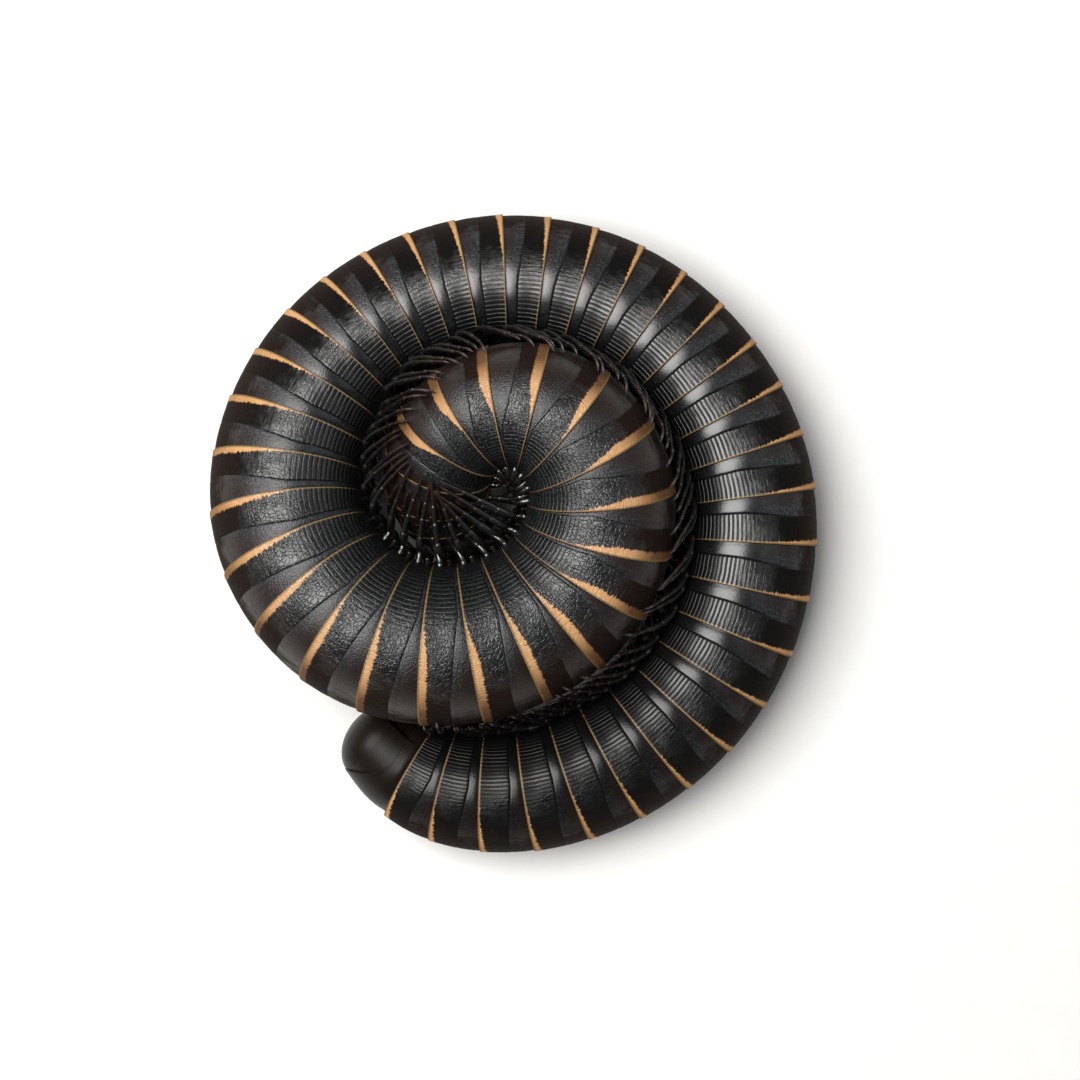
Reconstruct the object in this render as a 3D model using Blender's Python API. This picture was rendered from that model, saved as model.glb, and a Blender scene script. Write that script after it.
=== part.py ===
"""A large tropical millipede, curled up on its right side in a flat spiral, as a life-size still model.

The tail end lies on the outside of the coil and the head is tucked into its middle. The belly faces
the middle of the coil, so the legs fill the groove between the turns. All sizes are in millimetres
until the meshes are made. Rings are numbered from the head: ring 1 is the collar plate behind the
head, and a whole number on the route stands for the hind edge of that ring.
"""

import math

import bmesh
import bpy
import numpy as np
from mathutils import Matrix, Vector

MM = 0.001
GAP = 0.3            # room between two nodes that touch
FAR = 9.0            # past the edge of the head or the tail, for cutting boxes

# The body's route: ring number, place of its axis (x, y, z), body radius, and how far the back is
# rolled up towards +Z, in degrees.
ROUTE = (
    (0, -5.0, 1.9, 6.6, 3.60, 20),
    (2.6, -5.4, 4.6, 10.6, 4.05, 24),
    (5, -3.0, 8.1, 12.4, 4.42, 27),
    (7.2, 1.9, 8.65, 12.75, 4.85, 27),
    (9.2, 5.7, 4.9, 12.0, 5.35, 25),
    (12, 4.7, -3.1, 10.4, 5.80, 22),
    (15, -3.1, -7.9, 10.2, 6.00, 20),
    (18, -11.8, -5.9, 9.5, 6.05, 18),
    (21, -16.4, 2.0, 7.8, 6.00, 14),
    (24, -14.3, 10.6, 6.45, 5.75, 9),
    (27, -8.5, 16.2, 5.6, 5.50, 4),
    (30, -0.7, 18.4, 5.20, 5.40, 0),
    (33, 7.4, 16.6, 5.16, 5.35, 0),
    (36, 13.8, 11.0, 5.16, 5.35, 0),
    (39, 17.2, 2.6, 5.16, 5.35, 0),
    (42, 15.8, -7.3, 5.11, 5.30, 0),
    (45, 9.8, -15.1, 5.01, 5.20, 0),
    (48, 0.9, -19.0, 4.71, 4.90, 0),
    (50.3, -6.0, -18.5, 4.24, 4.43, 0),
    (53, -11.4, -14.6, 3.6, 3.00, 0),
)

# The middle of the coil's own box in the route's numbers. It becomes the origin.
COIL_MIDDLE = (0.155, -0.065, 0.0)

# Trunk rings. The rings narrow where they slide under the one in front and flare to a free hind edge.
LAST_RING = 51
LENGTH_STARTS = (2, 9, 14, 19, 24, 29, 34, 39, 44, 49)
SIDES = 18
RING_PROFILE = ((0.0, 0.955), (0.5, 0.985), (1.0, 1.0))
RAISED_RING_PROFILE = ((0.0, 0.955), (1.0, 1.0))
LAST_RAISED_RING = 28    # rings up to this one stand clear of the floor
BELLY_FLATTENING = 0.10

# Legs: two pairs to a ring, except on the first three leg-bearing rings.
SINGLE_PAIR_RINGS = (2, 3, 4)
LAST_LEG_RING = 50
PAIR_PLACES = (0.35, 0.72)
SINGLE_PLACE = 0.6
LEG_SIDES = 3
LEG_ROOT_DEPTH = 1.0
LEG_ROOT_ANGLE = 6.0
LEG_ROOT_STAGGER = 7.0                         # every other pair stands this much wider
LEG_RADII = (0.37, 0.35, 0.33, 0.30, 0.14)
LEG_STEPS = (0.0, 0.12, 0.42, 0.72, 1.0)      # share of the full reach, lean and trail at each joint
LEG_CLEARANCE = 0.36
LEG_VARIATION = 0.06                           # how unlike neighbouring legs are, as a share
LEG_SEED = 11

# How the upper (left) legs lie: ring, reach out from the belly (mm), rise above the level (degrees),
# trail towards the tail (rings), and how far neighbouring legs fan apart in height (degrees).
UPPER_LEGS = (
    (2, 0.8, 4, 0.8, 0),
    (8, 0.8, 4, 0.8, 0),
    (9, 1.2, 6, 1.0, 0),
    (13, 1.6, 8, 1.2, 0),
    (14, 4.2, 22, 1.6, 3.0),
    (18, 4.0, 24, 1.6, 3.0),
    (19, 2.2, 34, 2.0, 0),
    (24, 3.0, 38, 2.0, 0),
    (30, 2.6, 50, 1.7, 0),
    (50, 2.6, 50, 1.6, 0),
)
# The lower (right) legs are folded close under the body.
LOWER_LEGS = (
    (2, 0.8, -54, 0.8, 0),
    (8, 0.8, -56, 0.8, 0),
    (17, 0.9, -66, 1.6, 0),
    (30, 0.9, -36, 1.5, 0),
    (50, 0.9, -34, 1.4, 0),
)

# Head, in its own axes: x to the animal's right, y forwards, z up to its crown.
HEAD_FORWARD = 2.75
HEAD_SIZE = (3.35, 2.3, 3.3)
MOUTH_CUT_Z = 0.2
MOUTH_CUT_Y = -0.35
LIP_HALF_WIDTH = 1.1
EYE_PLACE = (2.62, 0.95, 1.25)
EYE_SIZE = (0.62, 0.5, 0.8)
FEELER_ROUTE = ((2.05, 2.35, 0.2), (2.45, 2.7, -0.6), (2.35, 2.65, -1.7), (1.9, 2.55, -2.7), (1.3, 2.4, -3.5))
FEELER_RADII = (0.34, 0.34, 0.34, 0.36, 0.26)

# Tail: a smooth last ring, closed by two domed valves with a small scale below them.
TAIL_RING_END = 52.3
VALVE_LENGTH = 2.3
VALVE_BASE_SHARE = 0.9
SCALE_TOP_SHARE = 0.62   # the scale fills the dome below this share of its half height

COLOURS = {
    "shell": (0.012, 0.013, 0.016, 1.0),
    "feeler": (0.05, 0.022, 0.012, 1.0),
    "eye": (0.004, 0.004, 0.005, 1.0),
}


def clear_scene():
    for item in list(bpy.data.objects):
        bpy.data.objects.remove(item, do_unlink=True)


def collection_named(name):
    made = bpy.data.collections.new(name)
    bpy.context.scene.collection.children.link(made)
    return made


def material(name, colour, roughness):
    made = bpy.data.materials.new(name)
    made.use_nodes = True
    shader = made.node_tree.nodes["Principled BSDF"]
    shader.inputs["Base Color"].default_value = colour
    shader.inputs["Roughness"].default_value = roughness
    shader.inputs["Metallic"].default_value = 0.0
    return made


def route_bends():
    """Second derivatives of the natural cubic spline through the route's stations."""
    knots = np.array([row[0] for row in ROUTE], float)
    values = np.array([row[1:] for row in ROUTE], float)
    values[:, :3] -= COIL_MIDDLE
    steps = np.diff(knots)
    count = len(knots)
    system = np.eye(count)
    right = np.zeros_like(values)
    for i in range(1, count - 1):
        system[i, i - 1:i + 2] = steps[i - 1], 2 * (steps[i - 1] + steps[i]), steps[i]
        right[i] = 6 * ((values[i + 1] - values[i]) / steps[i] - (values[i] - values[i - 1]) / steps[i - 1])
    return knots, values, steps, np.linalg.solve(system, right)


KNOTS, VALUES, STEPS, BENDS = route_bends()


def route(ring):
    """Place, radius and roll of the body at any ring numbers, from the smooth curve."""
    ring = np.atleast_1d(np.asarray(ring, float))
    i = np.clip(np.searchsorted(KNOTS, ring, side="right") - 1, 0, len(STEPS) - 1)
    before = ((KNOTS[i + 1] - ring) / STEPS[i])[:, None]
    after = ((ring - KNOTS[i]) / STEPS[i])[:, None]
    bend = (before**3 - before) * BENDS[i] + (after**3 - after) * BENDS[i + 1]
    return before * VALUES[i] + after * VALUES[i + 1] + (STEPS[i]**2 / 6)[:, None] * bend


def unit(vectors):
    return vectors / np.linalg.norm(vectors, axis=-1, keepdims=True)


def body_frames(ring):
    """Axis point, radius, and the rearward, dorsal and left directions at each ring number."""
    ring = np.atleast_1d(np.asarray(ring, float))
    row = route(ring)
    step = 0.01
    rear = unit(route(ring + step)[:, :3] - route(ring - step)[:, :3])
    up = np.array([0.0, 0.0, 1.0])
    left = unit(up - (rear @ up)[:, None] * rear)
    dorsal = np.cross(left, rear)
    roll = np.radians(row[:, 4])[:, None]
    back = dorsal * np.cos(roll) + left * np.sin(roll)
    side = left * np.cos(roll) - dorsal * np.sin(roll)
    return row[:, :3], row[:, 3], rear, back, side


def ring_section(ring, share, shift):
    """One outline across the body: a circle, a little flat on the belly and flat on the floor."""
    centre, radius, rear, back, side = (item[0] for item in body_frames(ring))
    turn = 2 * math.pi * np.arange(SIDES) / SIDES
    belly = np.clip(-np.cos(turn), 0, 1) ** 6
    reach = radius * share * (1 - BELLY_FLATTENING * belly)
    points = centre + rear * shift + reach[:, None] * (np.cos(turn)[:, None] * back + np.sin(turn)[:, None] * side)
    points[:, 2] = np.maximum(points[:, 2], 0.0)
    return points


def mesh_object(name, bm, folder):
    mesh = bpy.data.meshes.new(name)
    bm.to_mesh(mesh)
    bm.free()
    made = bpy.data.objects.new(name, mesh)
    folder.objects.link(made)
    return made


def loft(name, sections, folder):
    """A closed solid through a list of outlines with the same number of points."""
    bm = bmesh.new()
    rows = [[bm.verts.new(point * MM) for point in section] for section in sections]
    count = len(rows[0])
    for near, far in zip(rows, rows[1:]):
        for i in range(count):
            j = (i + 1) % count
            bm.faces.new((near[i], near[j], far[j], far[i]))
    bm.faces.new(rows[0])
    bm.faces.new(rows[-1])
    bmesh.ops.recalc_face_normals(bm, faces=bm.faces)
    return mesh_object(name, bm, folder)


def trunk_sections(first, last):
    """Outlines of the rings from first to last, with a step down behind each free hind edge."""
    sections = []
    for ring in range(first, last + 1):
        for place, share in RAISED_RING_PROFILE if ring <= LAST_RAISED_RING else RING_PROFILE:
            shift = 0.0
            if ring == first and place == 0.0:
                shift = GAP / 2
            if ring == last and place == 1.0:
                shift = -GAP / 2
            sections.append(ring_section(ring - 1 + place, share, shift))
    return sections


DENSE = np.arange(0.0, 53.01, 0.2)
DENSE_ROWS = route(DENSE)


def way_out(point, thickness):
    """The move that takes one point of a leg clear of every part of the body."""
    away = point - DENSE_ROWS[:, :3]
    length = np.linalg.norm(away, axis=1)
    room = length - DENSE_ROWS[:, 3]
    worst = int(np.argmin(room))
    return away[worst] / length[worst] * max(0.0, LEG_CLEARANCE + thickness - room[worst])


def pushed_clear(points, thickness, start):
    """Leg joints moved until they, and the places half way between them, clear the body and the floor."""
    points = points.copy()
    thickness = np.asarray(thickness)
    low = thickness + GAP
    for _ in range(16):
        for i in range(start, len(points)):
            points[i] += way_out(points[i], thickness[i])
            move = way_out((points[i - 1] + points[i]) / 2, (thickness[i - 1] + thickness[i]) / 2)
            points[i] += move
            if i > start:
                points[i - 1] += move
        points[start:, 2] = np.maximum(points[start:, 2], low[start:])
    return points


def leg_points(ring, order, hand, lie, luck):
    """The joints of one leg, from its root inside the body to its tip."""
    rings = [row[0] for row in lie]
    reach, rise, trail, fan = (np.interp(ring, rings, [row[i] for row in lie]) for i in (1, 2, 3, 4))
    reach, trail = np.array((reach, trail)) * (1 + LEG_VARIATION * luck.uniform(-1, 1, 2))
    steps = np.array(LEG_STEPS)
    along = np.minimum(ring + trail * steps**1.3, ROUTE[-1][0])
    centres, radii, _, backs, sides = body_frames(along)
    rolls = route(along)[:, 4]
    rise = rise + fan * (order * 2 % 5 - 2)
    out = np.where(steps > 0, 0.55 + (reach - 0.55) * steps, -LEG_ROOT_DEPTH)
    root = hand * (LEG_ROOT_ANGLE + LEG_ROOT_STAGGER * (order % 2))
    angle = np.radians(root + (rise + rolls - root) * steps)
    spoke = -np.cos(angle)[:, None] * backs + np.sin(angle)[:, None] * sides
    points = centres + (radii + out)[:, None] * spoke
    return pushed_clear(points, LEG_RADII, 2)


def tube_sections(points, radii, sides):
    """Square or round outlines carried along a bent line, each turned to the line's direction."""
    points = np.asarray(points, float)
    ways = np.gradient(points, axis=0)
    ways = unit(ways)
    across = np.cross(ways[0], [0.0, 0.0, 1.0])
    sections = []
    turn = 2 * math.pi * np.arange(sides) / sides
    for point, way, radius in zip(points, ways, radii):
        across = unit(across - way * (across @ way))
        other = np.cross(way, across)
        sections.append(point + radius * (np.cos(turn)[:, None] * across + np.sin(turn)[:, None] * other))
    return sections


def leg_places(first, last):
    """Order and ring number of each leg pair between two rings."""
    for ring in range(first, min(last, LAST_LEG_RING) + 1):
        places = (SINGLE_PLACE,) if ring in SINGLE_PAIR_RINGS else PAIR_PLACES
        for pair, place in enumerate(places):
            yield 2 * ring + pair, ring - 1 + place


def boolean(target, operation, operand=None, collection=None):
    """Apply one Boolean to an object, with an object or a whole collection."""
    modifier = target.modifiers.new(operation.lower(), "BOOLEAN")
    modifier.operation = operation
    modifier.solver = "MANIFOLD"
    if collection:
        modifier.operand_type = "COLLECTION"
        modifier.collection = collection
    else:
        modifier.object = operand
    bpy.context.view_layer.update()
    graph = bpy.context.evaluated_depsgraph_get()
    result = bpy.data.meshes.new_from_object(target.evaluated_get(graph))
    target.modifiers.clear()
    target.data = result


def keep_largest(target):
    """Keep only the largest connected surface of a node, counted in faces joined along edges."""
    bm = bmesh.new()
    bm.from_mesh(target.data)
    left = set(bm.faces)
    pieces = []
    while left:
        seed = left.pop()
        piece = [seed]
        for face in piece:
            for edge in face.edges:
                for other in edge.link_faces:
                    if other in left:
                        left.remove(other)
                        piece.append(other)
        pieces.append(piece)
    pieces.sort(key=len, reverse=True)
    for piece in pieces[1:]:
        bmesh.ops.delete(bm, geom=piece, context="FACES")
    bm.to_mesh(target.data)
    bm.free()


def finish(target, surface):
    target.data.materials.clear()
    target.data.materials.append(surface)
    target.data.shade_smooth()
    target.data.set_sharp_from_angle(angle=math.radians(35))


def trunk_length(number, first, last, luck, folder, surface):
    """One length of the trunk, with its legs fused to the belly."""
    target = loft(f"trunk_{number:02d}", trunk_sections(first, last), folder)
    legs = collection_named(f"legs_{number:02d}")
    for order, ring in leg_places(first, last):
        for hand, lie in ((1, UPPER_LEGS), (-1, LOWER_LEGS)):
            points = leg_points(ring, order, hand, lie, luck)
            loft(f"leg_{order}_{hand}", tube_sections(points, LEG_RADII, LEG_SIDES), legs)
    boolean(target, "UNION", collection=legs)
    for item in list(legs.objects):
        bpy.data.objects.remove(item, do_unlink=True)
    bpy.data.collections.remove(legs)
    keep_largest(target)
    finish(target, surface)


def trunk(folder, surface):
    luck = np.random.default_rng(LEG_SEED)
    ends = [start - 1 for start in LENGTH_STARTS[1:]] + [LAST_RING]
    for number, (first, last) in enumerate(zip(LENGTH_STARTS, ends), 1):
        trunk_length(number, first, last, luck, folder, surface)


def collar(folder, surface):
    """The first ring: a legless shield that narrows to the neck."""
    profile = ((0.12, 0.80, 0.0), (0.3, 0.93, 0.0), (0.6, 0.985, 0.0), (1.0, 1.0, -GAP / 2))
    target = loft("collum", [ring_section(*item) for item in profile], folder)
    finish(target, surface)


def head_matrix():
    """Turns the head's own axes into the model's, in metres."""
    centre, _, rear, back, side = (item[0] for item in body_frames(0.12))
    middle = centre - rear * HEAD_FORWARD
    turn = Matrix((-side, -rear, back)).transposed().to_4x4()
    return Matrix.Translation(Vector(middle) * MM) @ turn


def head_whole(name, folder):
    """A domed capsule, flat towards the neck and drawn in to a notched lip below."""
    bm = bmesh.new()
    bmesh.ops.create_uvsphere(bm, u_segments=24, v_segments=14, radius=1)
    for vert in bm.verts:
        x, y, z = vert.co
        below = max(0.0, -z)
        x *= 1 - 0.22 * below**2
        y = y * (0.82 if y < 0 else 1.0) + 0.10 * below * (1 - y)
        notch = 0.10 * math.exp(-(x / 0.16) ** 2) * below**3
        z = z * (0.97 - 0.06 * (1 - abs(x))) + notch
        vert.co = Vector((x * HEAD_SIZE[0], y * HEAD_SIZE[1], z * HEAD_SIZE[2])) * MM
    bm.transform(head_matrix())
    return mesh_object(name, bm, folder)


def box_between(name, low, high, place, folder):
    """A box in the axes that place gives, for cutting a solid into its pieces."""
    bm = bmesh.new()
    bmesh.ops.create_cube(bm, size=1)
    for vert in bm.verts:
        vert.co = Vector([(low[i] + high[i]) / 2 + vert.co[i] * (high[i] - low[i]) for i in range(3)]) * MM
    bm.transform(place)
    made = mesh_object(name, bm, folder)
    made.hide_render = True
    made.display_type = "WIRE"
    return made


def head(folder, cutters, surface, eye_surface):
    """The head is modelled whole and parted by thin cuts into capsule, mandibles and lower lip."""
    place = head_matrix()
    capsule = head_whole("head", folder)
    corner = (FAR, MOUTH_CUT_Y + GAP, MOUTH_CUT_Z + GAP)
    mouth = box_between("mouth_cut", (-FAR, -FAR, -FAR), corner, place, cutters)
    boolean(capsule, "DIFFERENCE", mouth)
    spans = {
        "mandible_right": (LIP_HALF_WIDTH + GAP, FAR),
        "lower_lip": (-LIP_HALF_WIDTH, LIP_HALF_WIDTH),
        "mandible_left": (-FAR, -LIP_HALF_WIDTH - GAP),
    }
    for name, (low, high) in spans.items():
        piece = head_whole(name, folder)
        corner = (high, MOUTH_CUT_Y, MOUTH_CUT_Z)
        box = box_between(name + "_box", (low, -FAR, -FAR), corner, place, cutters)
        boolean(piece, "INTERSECT", box)
        keep_largest(piece)
        finish(piece, surface)
    for hand, name in ((-1, "eye_left"), (1, "eye_right")):
        for label, extra in ((name, 0.0), (name + "_socket", GAP)):
            bm = bmesh.new()
            bmesh.ops.create_uvsphere(bm, u_segments=12, v_segments=8, radius=1)
            for vert in bm.verts:
                for i in range(3):
                    vert.co[i] *= EYE_SIZE[i] + extra
                vert.co += Vector((hand * EYE_PLACE[0], EYE_PLACE[1], EYE_PLACE[2]))
                vert.co *= MM
            bm.transform(head_matrix())
            made = mesh_object(label, bm, cutters if extra else folder)
            if extra:
                made.hide_render = True
                made.display_type = "WIRE"
                boolean(capsule, "DIFFERENCE", made)
            else:
                finish(made, eye_surface)
    keep_largest(capsule)
    finish(capsule, surface)


def feelers(folder, surface):
    """Two short feelers, folded round the front of the head."""
    matrix = head_matrix()
    for hand, name in ((-1, "antenna_left"), (1, "antenna_right")):
        points = [matrix @ (Vector((hand * x, y, z)) * MM) / MM for x, y, z in FEELER_ROUTE]
        target = loft(name, tube_sections(points, FEELER_RADII, 8), folder)
        finish(target, surface)


def tail(folder, cutters, surface):
    """The smooth last ring with its two closing valves and the scale below them."""
    profile = ((LAST_RING, 0.955, GAP / 2), (51.6, 0.99, 0.0), (52.0, 0.985, 0.0), (TAIL_RING_END, 0.93, -GAP / 2))
    target = loft("preanal_ring", [ring_section(*item) for item in profile], folder)
    finish(target, surface)
    centre, radius, rear, back, side = (item[0] for item in body_frames(TAIL_RING_END))
    size = radius * VALVE_BASE_SHARE
    turn = Matrix((side, rear, back)).transposed().to_4x4()
    place = Matrix.Translation(Vector(centre + rear * GAP / 2) * MM) @ turn
    low = -SCALE_TOP_SHARE * size
    pieces = {
        "anal_valve_left": ((GAP / 2, 0, low + GAP), (FAR, FAR, FAR)),
        "anal_valve_right": ((-FAR, 0, low + GAP), (-GAP / 2, FAR, FAR)),
        "subanal_scale": ((-FAR, 0, -FAR), (FAR, FAR, low)),
    }
    for name, (lowest, highest) in pieces.items():
        bm = bmesh.new()
        bmesh.ops.create_uvsphere(bm, u_segments=20, v_segments=12, radius=1)
        for vert in bm.verts:
            vert.co = Vector((vert.co.x * size, vert.co.y * VALVE_LENGTH, vert.co.z * size)) * MM
        bm.transform(place)
        piece = mesh_object(name, bm, folder)
        boolean(piece, "INTERSECT", box_between(name + "_box", lowest, highest, place, cutters))
        keep_largest(piece)
        finish(piece, surface)


def main():
    clear_scene()
    folder = collection_named("millipede")
    cutters = collection_named("cutters")
    shell = material("shell", COLOURS["shell"], 0.3)
    feeler = material("feeler", COLOURS["feeler"], 0.35)
    eye = material("eye", COLOURS["eye"], 0.15)
    trunk(folder, shell)
    collar(folder, shell)
    head(folder, cutters, shell, eye)
    feelers(folder, feeler)
    tail(folder, cutters, shell)


main()
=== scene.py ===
"""A large tropical millipede, curled up on its right side in a flat spiral, as a life-size still model.

Lengths are in millimetres until a mesh is made. Rings are numbered from the head: a whole number on
the route is the hind edge of that ring, and ring 1 is the collar plate behind the head.
"""

import math

import bpy
import numpy as np
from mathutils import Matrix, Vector


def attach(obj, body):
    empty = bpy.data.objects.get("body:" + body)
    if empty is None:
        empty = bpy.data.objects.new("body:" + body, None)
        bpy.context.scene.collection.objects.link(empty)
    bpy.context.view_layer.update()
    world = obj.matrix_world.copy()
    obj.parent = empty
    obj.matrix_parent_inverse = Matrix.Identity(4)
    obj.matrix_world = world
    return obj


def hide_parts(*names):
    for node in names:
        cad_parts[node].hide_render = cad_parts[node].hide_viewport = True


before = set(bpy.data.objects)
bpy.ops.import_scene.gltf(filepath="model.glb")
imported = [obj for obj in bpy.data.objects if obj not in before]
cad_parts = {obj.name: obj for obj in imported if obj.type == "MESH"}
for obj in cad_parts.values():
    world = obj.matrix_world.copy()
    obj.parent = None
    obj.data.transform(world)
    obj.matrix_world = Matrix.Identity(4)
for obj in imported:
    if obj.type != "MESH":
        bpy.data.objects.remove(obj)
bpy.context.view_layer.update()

# The body's course. The animal lies on its right side, its back to the outside of the coil and its
# belly to the middle. The same stations carry the solids: ring number, place of the body's axis,
# body radius, and how far the back is rolled up, in degrees.
ROUTE = (
    (0, -5.0, 1.9, 6.6, 3.60, 20),
    (2.6, -5.4, 4.6, 10.6, 4.05, 24),
    (5, -3.0, 8.1, 12.4, 4.42, 27),
    (7.2, 1.9, 8.65, 12.75, 4.85, 27),
    (9.2, 5.7, 4.9, 12.0, 5.35, 25),
    (12, 4.7, -3.1, 10.4, 5.80, 22),
    (15, -3.1, -7.9, 10.2, 6.00, 20),
    (18, -11.8, -5.9, 9.5, 6.05, 18),
    (21, -16.4, 2.0, 7.8, 6.00, 14),
    (24, -14.3, 10.6, 6.45, 5.75, 9),
    (27, -8.5, 16.2, 5.6, 5.50, 4),
    (30, -0.7, 18.4, 5.20, 5.40, 0),
    (33, 7.4, 16.6, 5.16, 5.35, 0),
    (36, 13.8, 11.0, 5.16, 5.35, 0),
    (39, 17.2, 2.6, 5.16, 5.35, 0),
    (42, 15.8, -7.3, 5.11, 5.30, 0),
    (45, 9.8, -15.1, 5.01, 5.20, 0),
    (48, 0.9, -19.0, 4.71, 4.90, 0),
    (50.3, -6.0, -18.5, 4.24, 4.43, 0),
    (53, -11.4, -14.6, 3.6, 3.00, 0),
)
COIL_MIDDLE = (0.155, -0.065, 0.0)


def route_bends():
    """Second derivatives of the natural cubic spline through the stations, from its linear system."""
    knots = np.array([row[0] for row in ROUTE], float)
    values = np.array([row[1:] for row in ROUTE], float)
    values[:, :3] -= COIL_MIDDLE
    steps = np.diff(knots)
    slopes = np.diff(values, axis=0) / steps[:, None]
    system = np.diag(np.r_[1, 2 * (steps[:-1] + steps[1:]), 1])
    system += np.diag(np.r_[steps[:-1], 0], -1) + np.diag(np.r_[0, steps[1:]], 1)
    right = np.vstack((0 * slopes[:1], 6 * np.diff(slopes, axis=0), 0 * slopes[:1]))
    return knots, values, steps, np.linalg.solve(system, right)


KNOTS, VALUES, STEPS, BENDS = route_bends()


def route(ring):
    """Axis point, radius and roll at any array of ring numbers, by the spline's cubic on each stretch."""
    ring = np.asarray(ring, float)
    i = np.clip(np.searchsorted(KNOTS, ring, side="right") - 1, 0, len(STEPS) - 1)
    before = ((KNOTS[i + 1] - ring) / STEPS[i])[..., None]
    after = 1 - before
    bend = (before**3 - before) * BENDS[i] + (after**3 - after) * BENDS[i + 1]
    return before * VALUES[i] + after * VALUES[i + 1] + (STEPS[i]**2 / 6)[..., None] * bend


def unit(vectors):
    """Each vector divided by its own length."""
    return vectors / np.linalg.norm(vectors, axis=-1, keepdims=True)


def body_frames(ring):
    """Axis point, radius, and the rearward, dorsal and left directions at an array of ring numbers."""
    ring = np.asarray(ring, float)
    row = route(ring)
    rear = unit(route(ring + 0.01)[..., :3] - route(ring - 0.01)[..., :3])
    left = unit(np.array([0.0, 0.0, 1.0]) - rear[..., 2:] * rear)
    dorsal = np.cross(left, rear)
    roll = np.radians(row[..., 4])[..., None]
    back = dorsal * np.cos(roll) + left * np.sin(roll)
    side = left * np.cos(roll) - dorsal * np.sin(roll)
    return row[..., :3], row[..., 3], rear, back, side


# Trunk rings: each is one hard, limy ring of cuticle that slides into the flared hind edge of the ring
# in front. Its front part is matt and finely pitted, a fine seam crosses it, and the part behind is
# glossy, wrinkled on the back, grooved lengthwise towards the belly, and edged in pale orange.
LENGTH_STARTS = (2, 9, 14, 19, 24, 29, 34, 39, 44, 49)
LAST_RING = 51
BODY_RADIUS = 5.6        # at which the ring's line and the patterns on it are drawn
RING_LENGTH = 3.2        # for the patterns, which are counted in millimetres
BELLY_FLATTENING = 0.05  # share of the radius that is lost under the belly
ROUND_COUNT = 240
SEAM_PLACE = 0.42        # where the seam lies on a ring, as every pattern below counts it
# Length of the part behind the seam, of the ring's own pitch, and the least share in front of the seam,
# on the rings of the inner turn, on those of the outer turn and at the tail.
REAR_SHARES = (0.78, 0.64, 0.64, 0.74)
FRONT_LEAST = (0.12, 0.34, 0.34, 0.26)
TURN_RINGS = (18, 26, 42, 50)
FRONT_MOST = 0.60        # the greatest share in front of the seam
# Place along the ring, and how far the surface lies below the free edge's radius, in millimetres.
RING_LINE = (
    (-0.05, 0.29), (0.0, 0.28), (0.04, 0.265), (0.09, 0.235), (0.15, 0.21), (0.22, 0.195), (0.29, 0.185),
    (0.35, 0.18), (0.39, 0.18), (0.41, 0.195), (0.42, 0.23), (0.43, 0.185), (0.45, 0.165), (0.48, 0.155),
    (0.53, 0.145), (0.59, 0.135), (0.65, 0.13), (0.71, 0.12), (0.77, 0.105), (0.82, 0.085), (0.87, 0.06),
    (0.91, 0.04), (0.945, 0.02), (0.97, 0.005), (0.985, 0.0), (0.995, 0.01), (1.0, 0.035), (1.001, 0.10),
    (0.985, 0.15), (0.95, 0.20),
)
BACK_SMOOTHNESS = 0.5    # how much less the rings step over the back than on the flanks
EDGE_WAVE = 0.022        # how uneven the free edge is
EDGE_WAVE_COUNTS = (2, 3, 5, 8, 13)
WAVE_DRAWS = 80          # for each of those waves, more than there are rings
# Width of the orange edge band over the back, in millimetres, and the angles from the back, in degrees,
# at which it starts to narrow and is gone, each at a few rings.
BAND_WIDTH_RINGS = (1, 3, 4, 5, 14, 18, 51)
BAND_WIDTHS = (0.02, 0.05, 0.70, 0.74, 0.72, 0.58, 0.56)
BAND_FADE_RINGS = (2, 8, 13, 19, 26)
BAND_FULL_TO = (38, 42, 55, 58, 12)
BAND_GONE_BY = (74, 80, 94, 96, 94)
SHARP_EDGE = 48.0        # degrees between two faces that are shaded as an edge
LUCK = np.random.default_rng(11)


def wave_round(turn, rings, height):
    """A gentle unevenness round each ring: a few sines of the turn with seeded phases and weights."""
    total = np.zeros(np.broadcast_shapes(turn.shape, rings.shape))
    for count in EDGE_WAVE_COUNTS:
        phase = LUCK.uniform(0, 2 * math.pi, WAVE_DRAWS)[rings.astype(int)]
        weight = LUCK.uniform(0.4, 1.0, WAVE_DRAWS)[rings.astype(int)]
        total += weight * np.sin(count * turn + phase) / count**0.5
    return height * total / 2


def ring_outline(ring, turn):
    """Axis point, radius and way out at a turn from the back: the radius is a little less at the belly.

    What it loses is BELLY_FLATTENING by the sixth power of the turn's negative cosine.
    """
    centre, radius, rear, back, side = body_frames(ring)
    belly = np.clip(-np.cos(turn), 0, 1) ** 6
    reach = radius * (1 - BELLY_FLATTENING * belly)
    spoke = np.cos(turn)[..., None] * back + np.sin(turn)[..., None] * side
    return centre, reach, spoke


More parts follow.
